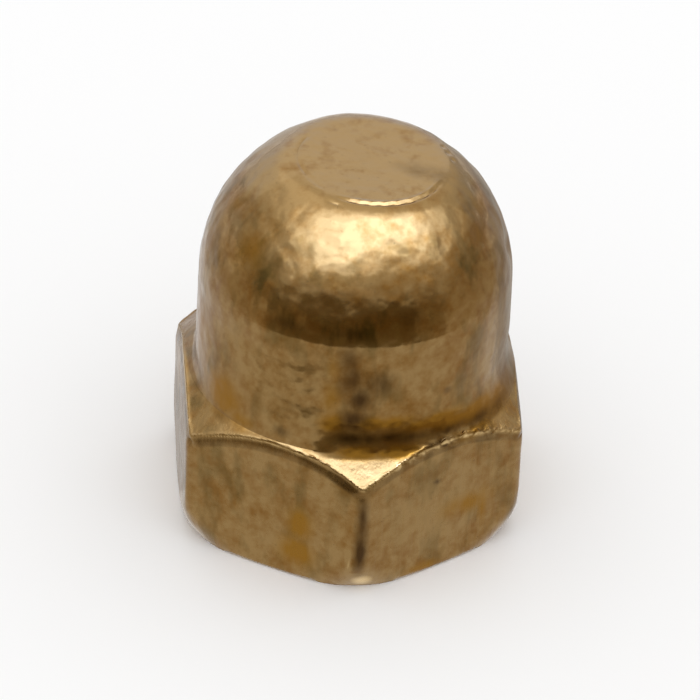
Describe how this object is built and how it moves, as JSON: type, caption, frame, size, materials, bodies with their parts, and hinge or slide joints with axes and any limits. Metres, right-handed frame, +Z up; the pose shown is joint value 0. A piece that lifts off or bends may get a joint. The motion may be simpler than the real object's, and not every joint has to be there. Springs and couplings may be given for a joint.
{
  "type": "cap nut",
  "caption": "Brass hexagon cap nut: a bevelled hexagon base with a smooth neck, a round dome with a small flat crown, and a blind threaded hole that covers a screw's end.",
  "frame": {"origin": "centre of the bearing face, on the thread axis", "axes": "+Z up the thread axis from the bearing face to the crown; two of the hexagon's corners lie on the Y axis and two of its flats face along X"},
  "size_m": [0.007, 0.008, 0.0082],
  "materials": {
    "brass": "turned brass, handled and tarnished to a mottled brown gold"
  },
  "bodies": {
    "root": {"cap_nut": "brass"}
  },
  "joints": []
}
